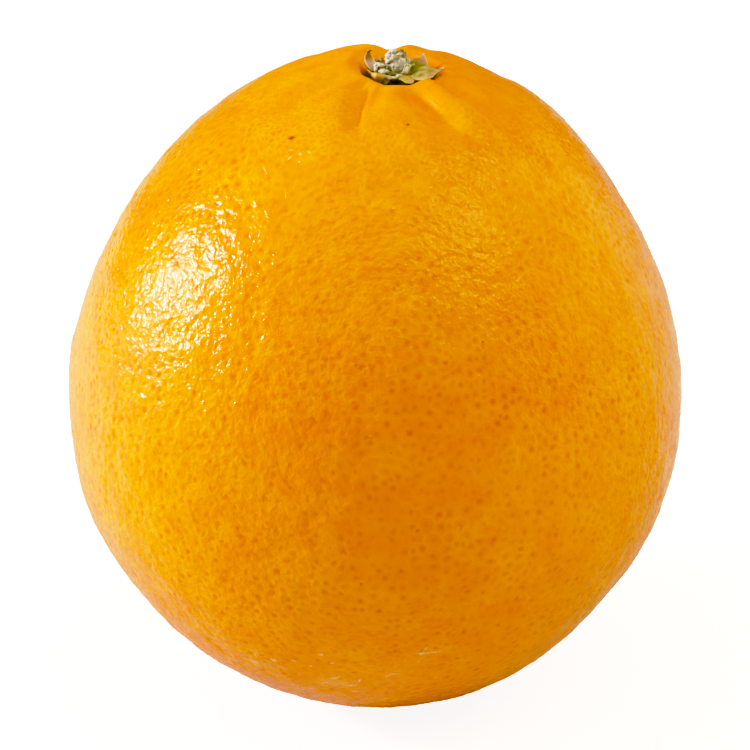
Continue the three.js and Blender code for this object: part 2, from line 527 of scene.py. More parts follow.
@dataclass
class Peel:
    """The fruit's skin: a mesh whose faces follow the oil glands, wrapped round the CAD form.

    Each gland is a small pit. Its strength sets its depth, width and colour. Round the stem the
    glands and waves fade and the folds take over, and at the foot the waves end on the flat spot.
    """

    seed: int = 11
    fullness: float = 1.005
    pitch: float = 1.56 * MM
    jitter: float = 0.36
    evenness: float = 0.45
    gland_share: int = 34
    near_jitter: float = 0.5
    big_share: float = 0.45
    big_strength: tuple[float, float] = (0.35, 0.75)
    small_strength: tuple[float, float] = (0.15, 0.4)
    drift: tuple[float, float] = (11 * MM, 9.0)
    rim_share: tuple[float, float] = (0.7, 0.5)
    rim_depth: float = 0.3
    middle_to_net: float = 0.7
    drift_share: tuple[float, float] = (0.85, 0.4)
    pit_depth: float = 0.13 * MM
    net_height: float = 0.04 * MM
    missing_share: float = 0.07
    unfold_rounds: int = 12
    least_facing: float = 0.5
    fine_reach: float = 9 * MM
    fold_reach: float = 19 * MM
    fold_sector: tuple[float, float] = (0.45, 0.75)
    crease_start: tuple[float, float] = (-0.15, 0.2)
    crease_end: tuple[float, float] = (0.5, 1.05)
    stem_fade: tuple[float, float] = (9 * MM, 30 * MM)
    stem_glands: float = 0.12
    wave_fade: tuple[float, float] = (5 * MM, 24 * MM)
    stem_waves: float = 0.25
    foot_fade: float = 2 * MM
    # how far from the stem and how deep the painted shade of the hollow reaches
    hollow_reach: float = 5.9 * MM
    hollow_shade: tuple[float, float] = (-0.7 * MM, 0.6 * MM)
    waves: tuple[tuple[float, float], ...] = (
        (16 * MM, 0.28 * MM),
        (6.5 * MM, 0.14 * MM),
        (2.4 * MM, 0.13 * MM),
    )
    creases: tuple[Crease, ...] = (
        Crease(-119, -104, 6, 18, 0.9, 0.45, 2.0),
        Crease(-88, -88, 1.5, 11, 0.3, 2.8, 2.6),
        Crease(-72, -59, 7, 19, 0.9, 1.0, 1.9),
        Crease(-51, -48, 2.5, 27, -0.6, 1.5, 2.4),
        Crease(-42, -35, 8, 27, 1.0, 2.0, 0.75),
        Crease(-124, -132, 6, 10, 0.4, 0.4, 0.6),
        Crease(-150, -146, 8, 17, 0.25, 1.0, 1.0),
        Crease(-6, -4, 4, 11, -0.4, 1.3, 1.3),
        Crease(90, 92, 5, 16, 0.7, 1.3, 1.5),
        Crease(150, 150, 4, 22, -0.3, 9, 8),
        Crease(70, 64, 4, 14, 0.12, 2.4, 2.4),
        Crease(32, 28, 3, 19, 0.8, 4.5, 7.0),
    )
    swells: tuple[Swell, ...] = (
        Swell(166, 60, 17, -0.6),
        Swell(17, 57, 13, -0.3),
        Swell(28, 40, 9, 0.4),
        Swell(-21, 130, 20, -0.6),
        Swell(-159, 132, 16, -0.55),
    )
    finish: PeelFinish = field(default_factory=PeelFinish)

    def build(self, source: Object) -> Object:
        """Makes the skin from the CAD fruit.

        Args:
            source: the CAD node, which is only copied.

        Returns:
            The finished skin.
        """
        low, high = (Vector(corner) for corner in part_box("fruit"))
        self.centre = (low + high) / 2
        self.stem = stem_seat()
        form = self._form(source)
        tree = BVHTree.FromObject(form, bpy.context.evaluated_depsgraph_get())
        skin = self._gland_net((high - low).length / 4)
        self._wrap(skin, tree)
        settle(skin)
        hand_in(skin, "fruit", "peel", self.finish.material(tree, self.centre, self.stem))
        bpy.data.objects.remove(form)
        return skin

    def _form(self, source: Object) -> Object:
        """Copies the CAD fruit, rounds its facets off and sharpens its folds.

        Args:
            source: the CAD node.

        Returns:
            The form, which the skin is wrapped round.
        """
        form = source.copy()
        form.data = source.data.copy()
        bpy.context.collection.objects.link(form)
        make_active(form)
        bpy.ops.object.mode_set(mode="EDIT")
        bpy.ops.mesh.select_all(action="SELECT")
        bpy.ops.mesh.remove_doubles(threshold=0.01 * MM)
        bpy.ops.mesh.tris_convert_to_quads()
        bpy.ops.object.mode_set(mode="OBJECT")
        apply_modifier(form, "SUBSURF", levels=2, render_levels=2)
        points = points_of(form.data)
        out = points[:, :2] - np.array(self.stem.xy)
        reach, azimuth = np.hypot(out[:, 0], out[:, 1]), np.arctan2(out[:, 1], out[:, 0])
        top = points[:, 2] > self.centre.z
        for crease in self.creases:
            along = (reach - crease.start * MM) / ((crease.end - crease.start) * MM)
            turn = (crease.end_azimuth - crease.start_azimuth) * np.clip(along, 0, 1)
            line = np.radians(crease.start_azimuth + turn)
            aside = reach * np.arctan2(np.sin(azimuth - line), np.cos(azimuth - line))
            width = np.where(aside > 0, crease.right_width, crease.left_width) * MM
            ends = smoothstep(along, *self.crease_start) * (1 - smoothstep(along, *self.crease_end))
            points[:, 2] -= crease.depth * MM * np.exp(-((aside / width) ** 2)) * ends * top
        points[:, :2] *= self.fullness
        ways = self._ways(points)
        for swell in self.swells:
            towards = ways @ np.array(direction(swell.azimuth, swell.polar))
            angle = np.degrees(np.arccos(np.clip(towards, -1, 1)))
            points += ways * (swell.height * MM * np.exp(-((angle / swell.width) ** 2)))[:, None]
        set_points(form.data, points)
        return form

    def _gland_net(self, radius: float) -> Object:
        """Makes a ball whose small faces are the glands and whose other faces lie between them.

        The glands start as the even points of a ball, are moved at random and joined again to
        their nearest neighbours, which the hull of points on a ball does.

        Args:
            radius: the ball's radius, in metres.

        Returns:
            The ball. Its faces of material 1 are glands and those of material 0 are net.
        """
        deselect_all()
        bpy.ops.mesh.primitive_ico_sphere_add(subdivisions=6, radius=radius, location=self.centre)
        skin = take("orange_peel")
        for _ in range(2):
            skin.data.materials.append(None)
        settle(skin)
        rng = np.random.default_rng(self.seed)
        near = self._near_stem(points_of(skin.data))
        select_vertices(skin, ~near & (rng.random(len(near)) < self.missing_share))
        bpy.ops.mesh.delete(type="VERT")
        bpy.ops.object.mode_set(mode="OBJECT")
        select_vertices(skin, self._near_stem(points_of(skin.data)))
        bpy.ops.mesh.subdivide(number_cuts=1)
        bpy.ops.object.mode_set(mode="OBJECT")

        points = points_of(skin.data)
        calm = np.where(self._near_stem(points), self.near_jitter, 1.0)[:, None]
        moves = rng.normal(size=points.shape) * self.jitter * self.pitch * calm
        set_points(skin.data, np.array(self.centre) + self._ways(points + moves) * radius)
        select_vertices(skin, np.ones(len(points), dtype=bool))
        bpy.ops.mesh.delete(type="EDGE_FACE")
        bpy.ops.mesh.select_all(action="SELECT")
        bpy.ops.mesh.convex_hull()
        bpy.ops.mesh.select_all(action="SELECT")
        bpy.ops.mesh.quads_convert_to_tris()
        bpy.ops.mesh.vertices_smooth(factor=self.evenness, repeat=1)
        bpy.ops.mesh.bevel(
            offset_type="PERCENT", offset_pct=self.gland_share, affect="VERTICES", material=1
        )
        bpy.ops.mesh.select_all(action="SELECT")
        bpy.ops.mesh.poke()
        bpy.ops.object.mode_set(mode="OBJECT")
        return skin

    def _ways(self, points: np.ndarray) -> np.ndarray:
        """Returns the unit directions of the points from the fruit's middle."""
        ways = points - np.array(self.centre)
        return ways / np.linalg.norm(ways, axis=1)[:, None]

    def _from_stem(self, points: np.ndarray) -> np.ndarray:
        """Returns each point's distance from the stem's axis."""
        return np.hypot(points[:, 0] - self.stem.x, points[:, 1] - self.stem.y)

    def _near_stem(self, points: np.ndarray) -> np.ndarray:
        """Finds the points that need a finer net: round the stem and along the front folds."""
        reach = self._from_stem(points)
        ahead, aside = self.stem.y - points[:, 1], points[:, 0] - self.stem.x
        fold = (ahead > self.fold_sector[0] * reach) | (aside > self.fold_sector[1] * reach) & (ahead > 0)
        return (points[:, 2] > self.centre.z) & (reach < np.where(fold, self.fold_reach, self.fine_reach))

    def _wrap(self, skin: Object, tree: BVHTree) -> None:
        """Lays the net on the form and presses the glands in.

        Args:
            skin: the ball of glands.
            tree: the form's faces.
        """
        mesh = skin.data
        corners = read(mesh.loops, "vertex_index").reshape(-1, 3)
        kinds = read(mesh.polygons, "material_index").ravel()
        count = len(mesh.vertices)
        on_gland = np.bincount(corners[kinds == 1].ravel(), minlength=count) > 0
        on_net = np.bincount(corners[kinds == 0].ravel(), minlength=count) > 0
        middle, rim, net = on_gland & ~on_net, on_gland & on_net, on_net & ~on_gland
        owner = self._owners(corners[kinds == 1], middle, count)

        points = points_of(mesh)
        rng = np.random.default_rng(self.seed)
        big = rng.random(count) < self.big_share
        strong, weak = (rng.uniform(*span, count) for span in (self.big_strength, self.small_strength))
        strength = np.where(big, strong, weak)
        strength *= self.drift_share[0] + self.drift_share[1] * noise_at(points, *self.drift)
        rims = np.flatnonzero(rim)
        share = self.rim_share[0] + self.rim_share[1] * strength[owner[rims]]
        points[rims] = points[owner[rims]] + (points[rims] - points[owner[rims]]) * share[:, None]
        points = self._unfold(points, corners)

        ways = self._ways(points)
        normals = np.zeros_like(points)
        for i, way in enumerate(ways):
            points[i], normals[i], _, _ = tree.ray_cast(self.centre, Vector(way))
        normals *= np.sign((normals * ways).sum(axis=1))[:, None]

        out = self._from_stem(points)
        top = points[:, 2] > self.centre.z
        fade = np.where(top, mix(self.stem_glands, 1.0, smoothstep(out, *self.stem_fade)), 1.0)
        pit = np.where(middle, strength, 0.0)
        pit += np.where(rim, self.rim_depth * strength[owner], 0.0)
        rise = fade * (np.where(net, self.net_height, 0.0) - self.pit_depth * pit)
        still = smoothstep(points[:, 2], 0.0, self.foot_fade)
        calm = np.where(top, mix(self.stem_waves, 1.0, smoothstep(out, *self.wave_fade)), 1.0)
        for seed, (size, height) in enumerate(self.waves):
            rise += height * noise_at(points, size, 3.7 + 5 * seed) * still * calm
        points += normals * rise[:, None]
        points[:, 2] = np.maximum(points[:, 2], 0.0)
        set_points(mesh, points)
        self._write_attributes(mesh, corners, kinds, owner, np.where(middle, strength * fade, 0.0))

    def _unfold(self, points: np.ndarray, corners: np.ndarray) -> np.ndarray:
        """Relaxes the few faces that the random moves have turned over or stood on edge.

        Args:
            points: the ball's points.
            corners: the points of each face.

        Returns:
            The points, with those of such faces moved between their neighbours.
        """
        for _ in range(self.unfold_rounds):
            first, second, third = (points[corner] for corner in corners.T)
            normals = np.cross(second - first, third - first)
            facing = (normals * self._ways((first + second + third) / 3)).sum(axis=1)
            turned = facing < self.least_facing * np.linalg.norm(normals, axis=1)
            if not turned.any():
                break
            total, count = np.zeros_like(points), np.zeros(len(points))
            for one, two in permutations(range(3), 2):
                np.add.at(total, corners[:, one], points[corners[:, two]])
                np.add.at(count, corners[:, one], 1)
            loose = np.unique(corners[turned])
            points = points.copy()
            points[loose] = total[loose] / count[loose][:, None]
        return points

    def _owners(self, corners: np.ndarray, middle: np.ndarray, count: int) -> np.ndarray:
        """Finds the gland that each rim vertex belongs to, as the index of the gland's middle."""
        first, second, third = corners.T
        hub = np.where(middle[first], first, np.where(middle[second], second, third))
        owner = np.full(count, -1)
        for corner in corners.T:
            owner[corner] = hub
        return owner

    def _write_attributes(
        self,
        mesh: Mesh,
        corners: np.ndarray,
        kinds: np.ndarray,
        owner: np.ndarray,
        gland: np.ndarray,
    ) -> None:
        """Writes what the rind's material reads: glands, the net between them and the painted shade of the
        stem hollow.

        Args:
            mesh: the peel, already in its final shape.
            corners: the vertices of each face.
            kinds: 1 for each face of a gland and 0 for each face of the net.
            owner: the middle vertex of each vertex's gland, or -1.
            gland: how strong the gland at each middle vertex is.
        """
        points = points_of(mesh)
        edge = np.zeros(len(points))
        rows = corners[kinds == 0]
        for one, two in ((rows[:, 0], rows[:, 1]), (rows[:, 1], rows[:, 2]), (rows[:, 2], rows[:, 0])):
            apart = (owner[one] >= 0) & (owner[two] >= 0) & (owner[one] != owner[two])
            half = np.linalg.norm(points[one] - points[two], axis=1) / 2
            edge[one[apart]] = half[apart]
            edge[two[apart]] = half[apart]
        edge[np.unique(owner[owner >= 0])] = self.middle_to_net * self.pitch
        face_owner = owner[corners].max(axis=1)
        other_side = (owner[corners] >= 0) & (owner[corners] < face_owner[:, None])
        signed = np.where(other_side, -edge[corners], edge[corners])
        away = (points[corners] - points[face_owner][:, None]) / MM
        # points deep in the stem hollow get painted shade, darker the deeper they lie
        depth = self.stem.z - points[:, 2]
        near = (self._from_stem(points) < self.hollow_reach) & (points[:, 2] > self.centre.z)
        hollow = np.where(near, smoothstep(depth, *self.hollow_shade), 0.0)
        write(mesh, "rim", "FLOAT", "CORNER", signed / MM)
        write(mesh, "gland", "FLOAT", "CORNER", np.repeat(gland[face_owner], 3))
        write(mesh, "from_gland", "FLOAT_VECTOR", "CORNER", away)
        write(mesh, "hollow", "FLOAT", "POINT", hollow)


# --- The calyx and the stem ----------------------------------------------------------------


class Form(Enum):
    """What a lump starts as: the operator that adds a solid of unit size, and its settings."""

    BALL = ("primitive_ico_sphere_add", {"subdivisions": 3, "radius": 0.5})
    POST = ("primitive_cone_add", {"vertices": 24, "radius1": 0.5, "radius2": 0.42, "depth": 1.0})
    SPIKE = ("primitive_cone_add", {"vertices": 12, "radius1": 0.5, "radius2": 0.06, "depth": 1.0})
    RING = (
        "primitive_torus_add",
        {"major_segments": 32, "minor_segments": 10, "major_radius": 0.42, "minor_radius": 0.1},
    )


@dataclass(frozen=True)
class Lump:
    """One swelling of a knobbly woody piece.

    The place is its middle, in millimetres from the stem's seat; the size is its whole width,
    depth and height, and the lean turns its axis from upright, towards an azimuth.
    """

    form: Form
    place: tuple[float, float, float]
    size: tuple[float, float, float]
    colour: str
    lean: float = 0.0
    towards: float = 0.0

    def add(self, seat: Vector) -> Object:
        """Adds the lump as a closed solid."""
        deselect_all()
        operator, settings = self.form.value
        getattr(bpy.ops.mesh, operator)(**settings)
        lump = bpy.context.object
        axis = direction(self.towards + 90, 90)
        lump.rotation_euler = Matrix.Rotation(math.radians(self.lean), 3, axis).to_euler()
        lump.scale = Vector(self.size) * MM
        lump.location = seat + Vector(self.place) * MM
        bpy.ops.object.transform_apply(location=True, rotation=True, scale=True)
        return lump


@dataclass(frozen=True)
class DryTissue:
    """Dead, weathered plant tissue: matt, with pale worn ridges and grime and painted shade in hollows."""

    name: str
    dirt_and_crevice_shade: str
    worn: str
    roughness: float
    grain: tuple[float, float, float]
    grain_strength: float = 0.35
    grain_depth: float = 0.06 * MM
    grain_in_dirt_and_shade: float = 0.5
    dirt_and_shade_range: tuple[float, float] = (0.42, 1.1)

    def material(self) -> Material:
        """Builds the tissue from the piece's own colours, with grime and painted shade in its hollows."""
        material, nodes, shader = new_material(self.name)
        place = add_node(nodes, "TexCoord", output="Object")
        own = add_node(nodes, "Attribute", output="Color", attribute_name="tissue")
        hollow = add_node(nodes, "Attribute", output="Fac", attribute_name="cavity")
        stretched = add_node(nodes, "Mapping", {"Vector": place, "Scale": self.grain})
        grain = add_node(nodes, "TexNoise", {"Vector": stretched, "Scale": 1.0, "Detail": 4.0})
        fine = add_node(nodes, "MapRange", {"Value": grain, "From Min": 0.35, "From Max": 0.7})
        worn = add_node(nodes, "Math", {0: fine, 1: self.grain_strength}, operation="MULTIPLY")
        pale = add_node(nodes, "Mix", {0: worn, "A": own, "B": linear(self.worn)}, data_type="RGBA")
        low, high = self.dirt_and_shade_range
        # points below their smoothed surroundings take the darker colour: grime and painted crevice shade
        # together
        deep = {0: grain, 1: self.grain_in_dirt_and_shade, 2: hollow}
        deep = add_node(nodes, "Math", deep, operation="MULTIPLY_ADD")
        dirt_and_shade_share = add_node(nodes, "MapRange", {"Value": deep, "From Min": low, "From Max": high})
        colour = add_node(nodes, "Mix", {0: dirt_and_shade_share, "A": pale, "B": linear(self.dirt_and_crevice_shade)}, data_type="RGBA")
        bump = add_node(nodes, "Bump", {"Height": grain, "Strength": 0.7, "Distance": self.grain_depth})
        nodes.links.new(colour, shader.inputs["Base Color"])
        nodes.links.new(bump, shader.inputs["Normal"])
        shader.inputs["Roughness"].default_value = self.roughness
        return material


@dataclass
class Knobbly:
    """A woody piece grown from lumps, fused and roughened, with grime and painted shade in its hollows."""

    name: str
    node: str
    slot: str
    lumps: tuple[Lump, ...]
    finish: DryTissue
    voxel: float = 0.07 * MM
    roughness: tuple[tuple[float, float], ...] = (
        (0.8 * MM, 0.18 * MM),
        (0.4 * MM, 0.11 * MM),
        (0.2 * MM, 0.05 * MM),
    )
    colour_parting: float = 2.5
    cavity_depth: float = 0.12 * MM

    def build(self, seat: Vector) -> Object:
        """Makes the piece.

        Args:
            seat: the point that the lumps are placed from.

        Returns:
            The finished piece.
        """
        parts = [lump.add(seat) for lump in self.lumps]
        make_active(parts[0])
        for part in parts:
            part.select_set(True)
        bpy.ops.object.join()
        piece = take(self.name)
        apply_modifier(piece, "REMESH", mode="VOXEL", voxel_size=self.voxel)
        apply_modifier(piece, "SMOOTH", factor=0.5, iterations=3)
        self._roughen(piece)
        paint_cavities(piece, self.cavity_depth)
        self._tint(piece, seat)
        settle(piece)
        hand_in(piece, self.node, self.slot, self.finish.material())
        return piece

    def _roughen(self, piece: Object) -> None:
        """Presses the noise of weathered wood into the surface."""
        points = points_of(piece.data)
        normals = read(piece.data.vertices, "normal", 3, float)
        for seed, (size, height) in enumerate(self.roughness):
            points = points + normals * (height * noise_at(points, size, 2.3 + 4 * seed))[:, None]
        set_points(piece.data, points)

    def _tint(self, piece: Object, seat: Vector) -> None:
        """Gives every point the colours of the lumps that it is nearest to."""
        points = (points_of(piece.data) - np.array(seat)) / MM
        total = np.zeros((len(points), 4))
        for lump in self.lumps:
            reach = (points - np.array(lump.place)) / (np.array(lump.size) / 2)
            closeness = np.exp(-self.colour_parting * (reach**2).sum(axis=1)) + 1e-12
            total += closeness[:, None] * np.array(linear(lump.colour))
        write(piece.data, "tissue", "FLOAT_COLOR", "POINT", total / total[:, 3:])


def paint_cavities(piece: Object, depth: float, rounds: int = 14) -> None:
    """Writes how far each point lies below its smoothed surroundings, as 0 to 1.

    Args:
        piece: the piece that is painted.
        depth: the depth that counts as 1, in metres.
        rounds: how often the surroundings are smoothed.
    """
    mesh = piece.data
    edges = read(mesh.edges, "vertices", 2)
    points = points_of(mesh)
    degree = np.maximum(np.bincount(edges.ravel(), minlength=len(points)), 1)[:, None]
    smooth = points.copy()
    for _ in range(rounds):
        total = np.zeros_like(smooth)
        np.add.at(total, edges[:, 0], smooth[edges[:, 1]])
        np.add.at(total, edges[:, 1], smooth[edges[:, 0]])
        smooth = total / degree
    below = ((smooth - points) * read(mesh.vertices, "normal", 3, float)).sum(axis=1) / depth
    # the tissue materials darken points by this value: painted shade in the hollows, together with grime
    write(mesh, "cavity", "FLOAT", "POINT", np.clip(0.5 + 0.5 * below, 0, 1))


@dataclass(frozen=True)
class Rib:
    """One station of a sepal: its two edges, in millimetres from the stem's seat, and its bulge."""

    near: tuple[float, float, float]
    far: tuple[float, float, float]
    bulge: float
    colour: str


@dataclass
class Sepal:
    """One dried sepal, a thin curled blade laid over its ribs from root to tip."""

    name: str
    node: str
    slot: str
    finish: DryTissue
    seed: float
    ribs: tuple[Rib, ...]
    thickness: float = 0.2 * MM
    ragged: float = 0.1 * MM
    ragged_size: float = 0.55 * MM
    crinkle: float = 0.09 * MM
    crinkle_size: float = 0.8 * MM
    cavity_depth: float = 0.05 * MM

    def build(self, seat: Vector) -> Object:
        """Makes the blade.

        Args:
            seat: the point that the ribs are placed from.

        Returns:
            The finished sepal.
        """
        deselect_all()
        bpy.ops.mesh.primitive_grid_add(x_subdivisions=36, y_subdivisions=18, size=2)
        piece = take(self.name)
        flat = points_of(piece.data)
        along, across = (flat[:, 0] + 1) / 2, flat[:, 1]
        roots, ends = (np.array([getattr(rib, edge) for rib in self.ribs]) for edge in ("near", "far"))
        near, far = spline(roots, along), spline(ends, along)
        rows = np.array([(rib.bulge, 0, 0) for rib in self.ribs])
        bulge = spline(rows, along)[:, :1]
        share = ((across + 1) / 2)[:, None]
        points = near * (1 - share) + far * share
        side = np.cross(spline_slope((roots + ends) / 2, along), far - near)
        side /= np.maximum(np.linalg.norm(side, axis=1), 1e-9)[:, None]
        points += side * bulge * (1 - across[:, None] ** 2)
        points = points * MM + np.array(seat)
        width = np.linalg.norm(far - near, axis=1)[:, None]
        outward = (far - near) / np.maximum(width, 1e-9) * across[:, None] ** 3
        points += outward * (self.ragged * noise_at(points, self.ragged_size, self.seed))[:, None]
        points += side * (self.crinkle * noise_at(points, self.crinkle_size, self.seed + 5))[:, None]
        set_points(piece.data, points)
        colours = np.array([linear(rib.colour) for rib in self.ribs])
        write(piece.data, "tissue", "FLOAT_COLOR", "POINT", np.clip(spline(colours, along), 0, 1))
        apply_modifier(piece, "SOLIDIFY", thickness=self.thickness, offset=0.0)
        apply_modifier(piece, "SUBSURF", levels=1, render_levels=1)
        paint_cavities(piece, self.cavity_depth)
        settle(piece)
        hand_in(piece, self.node, self.slot, self.finish.material())
        return piece


def spline(rows: np.ndarray, along: np.ndarray) -> np.ndarray:
    """Runs a smooth curve through equally spaced rows, as a Catmull-Rom spline does.

    Args:
        rows: the values that the curve goes through.
        along: places on the curve, from 0 at the first row to 1 at the last.

    Returns:
        One row per place.
    """
    padded = np.vstack([2 * rows[0] - rows[1], rows, 2 * rows[-1] - rows[-2]])
    scaled = np.clip(along, 0, 1) * (len(rows) - 1)
    start = np.minimum(scaled.astype(int), len(rows) - 2)
    t = (scaled - start)[:, None]
    a, b, c, d = (padded[start + step] for step in range(4))
    return 0.5 * (2 * b + (c - a) * t + (2 * a - 5 * b + 4 * c - d) * t**2 + (3 * b - a - 3 * c + d) * t**3)


def spline_slope(rows: np.ndarray, along: np.ndarray) -> np.ndarray:
    """Returns the direction of the spline at each place."""
    step = 0.01
    return spline(rows, along + step) - spline(rows, along - step)


# Torn, bleached stem wood: chalky, nearly white, grey-brown grime between fibres, painted shade in hollows.
CREAM_WOOD = DryTissue("weathered_citrus_stem_wood", "#4a3e1c", "#f6f0ec", 0.8, (900, 900, 500))
# The calyx cup's cork: dull and dusty, its cracks made almost black by grime and painted shade.
CUP_TISSUE = DryTissue("dried_calyx_cup", "#3c2a0c", "#e6ddc0", 0.82, (1100, 1100, 700))
# A sepal that is only half dry: olive, leathery and streaked along its veins.
GREEN_SEPAL = DryTissue("half_dried_green_sepal", "#4c3c0c", "#c8b878", 0.65, (900, 2600, 1800), 0.4)
# Dead sepals, thin as paper: pinkish brown with pale worn ridges.
BROWN_SEPAL = DryTissue("papery_brown_sepal", "#5a2c14", "#e0bc9c", 0.7, (1400, 1800, 2200), 0.35)
# Young dead sepals: tan, smooth and a little shinier than the rest.
TAN_SEPAL = DryTissue("leathery_tan_sepal", "#5c3a08", "#ecd094", 0.6, (1800, 1800, 1800), 0.3)


STUB_LUMPS = (
    Lump(Form.POST, (0, 0, 1.1), (2.3, 2.2, 3.4), "#a89c68"),
    Lump(Form.BALL, (0.35, -0.6, 1.15), (2, 1.5, 2.5), "#e2dad0"),
    Lump(Form.BALL, (0.75, -0.9, 0.75), (1.2, 1, 1.6), "#e8e0d6"),
    Lump(Form.BALL, (-0.8, 0, 1.95), (1.2, 1.3, 2), "#e0d6cc"),
    Lump(Form.BALL, (-0.25, 0.15, 2.75), (1.2, 1.1, 0.9), "#d8d0c0"),
    Lump(Form.RING, (0.55, -0.75, 1.15), (1.5, 1.5, 1.6), "#eee6de", 62, -80),
    Lump(Form.RING, (0.75, -0.6, 1), (2.2, 2.1, 1.6), "#e6ded2", 64, -70),
    Lump(Form.RING, (0.9, -0.5, 0.95), (2.7, 2.5, 1.6), "#c9c49e", 66, -65),
    Lump(Form.RING, (1, -0.45, 0.85), (3.2, 2.9, 1.6), "#a8a274", 68, -60),
    Lump(Form.RING, (-0.5, -0.2, 2), (1.6, 1.5, 1.8), "#e4dcd2", 30, 160),
    Lump(Form.BALL, (0.65, 0.1, 2.55), (1.1, 1, 1.3), "#26260c"),
    Lump(Form.SPIKE, (0.95, 0.1, 2.75), (0.34, 0.34, 1.2), "#4c5a26", 8, 20),
    Lump(Form.SPIKE, (1.25, 0, 2.5), (0.34, 0.34, 1.3), "#56602c", 14, 0),
    Lump(Form.SPIKE, (0.7, 0.5, 2.85), (0.3, 0.3, 0.9), "#47501f", -10, 40),
    Lump(Form.SPIKE, (1.2, 0.45, 2.4), (0.4, 0.4, 1.2), "#3c4418", 18, 40),
    Lump(Form.SPIKE, (0.45, -0.2, 2.95), (0.26, 0.26, 0.7), "#5d6634", -6, -60),
)

CUP_LUMPS = (
    # The post and the flat ball under the cup are near-black: painted shade for the deep gap under the
    # calyx, not the cup's own colour.
    Lump(Form.POST, (0, 0.3, -1.3), (2, 2, 2.1), "#100702"),
    Lump(Form.BALL, (0, 0.4, -0.2), (3.6, 3, 0.7), "#1c1004"),
    Lump(Form.RING, (0, 0.2, 0.15), (4.3, 4, 1.8), "#4c3a18"),
    Lump(Form.BALL, (-2.05, -0.85, 1.3), (1.4, 0.9, 0.85), "#e2dccc"),
    Lump(Form.BALL, (-2.35, -0.9, 0.95), (0.8, 0.8, 0.8), "#d8d2ba"),
    Lump(Form.BALL, (-1.45, -1.45, 0.8), (1.5, 0.8, 0.6), "#dcdac2"),
    Lump(Form.BALL, (-1.7, -0.7, 0.4), (1.1, 1.5, 1.5), "#544418"),
    Lump(Form.BALL, (-2.1, 0.95, 1.4), (1.1, 0.6, 0.7), "#a88634"),
    Lump(Form.BALL, (-1.7, 0.9, 1.6), (0.8, 0.6, 0.8), "#9a7428"),
    Lump(Form.BALL, (-1.8, 0.6, 0.6), (1, 1.1, 1.5), "#8a6c30"),
    Lump(Form.BALL, (-0.5, -1.6, 0.5), (1, 0.7, 0.7), "#6a5220"),
    Lump(Form.BALL, (-1.35, -2.15, 0.25), (1.4, 0.6, 0.5), "#d8c6a4"),
    Lump(Form.BALL, (-0.3, -2.3, 0.15), (1.5, 0.55, 0.5), "#dccaac"),
    Lump(Form.BALL, (0.55, -2.1, 0.3), (1.1, 0.6, 0.5), "#d8ccae"),
    Lump(Form.SPIKE, (-1.15, -2.6, -0.15), (1.1, 0.5, 1), "#cda888", 165, -90),
    Lump(Form.RING, (1.3, -1.1, 0.9), (1.3, 1.9, 1.2), "#cfc69c", 84, -20),
    Lump(Form.RING, (1.62, -1.25, 0.8), (1.5, 2.1, 1.2), "#a59c64", 86, -24),
    Lump(Form.RING, (1.95, -1.4, 0.7), (1.7, 2.3, 1.2), "#8c8444", 88, -28),
    Lump(Form.BALL, (1.6, -0.8, 0.4), (1, 1.4, 0.8), "#4a4418"),
    Lump(Form.BALL, (2, 0.5, 0.5), (1, 1.6, 1.1), "#7f7a36"),
    Lump(Form.BALL, (0.4, 1.9, 0.4), (2.4, 0.8, 0.9), "#8e7c44"),
    Lump(Form.SPIKE, (-0.8, 1.9, 0.9), (0.9, 0.4, 1.3), "#a58c50", 10, 90),
)

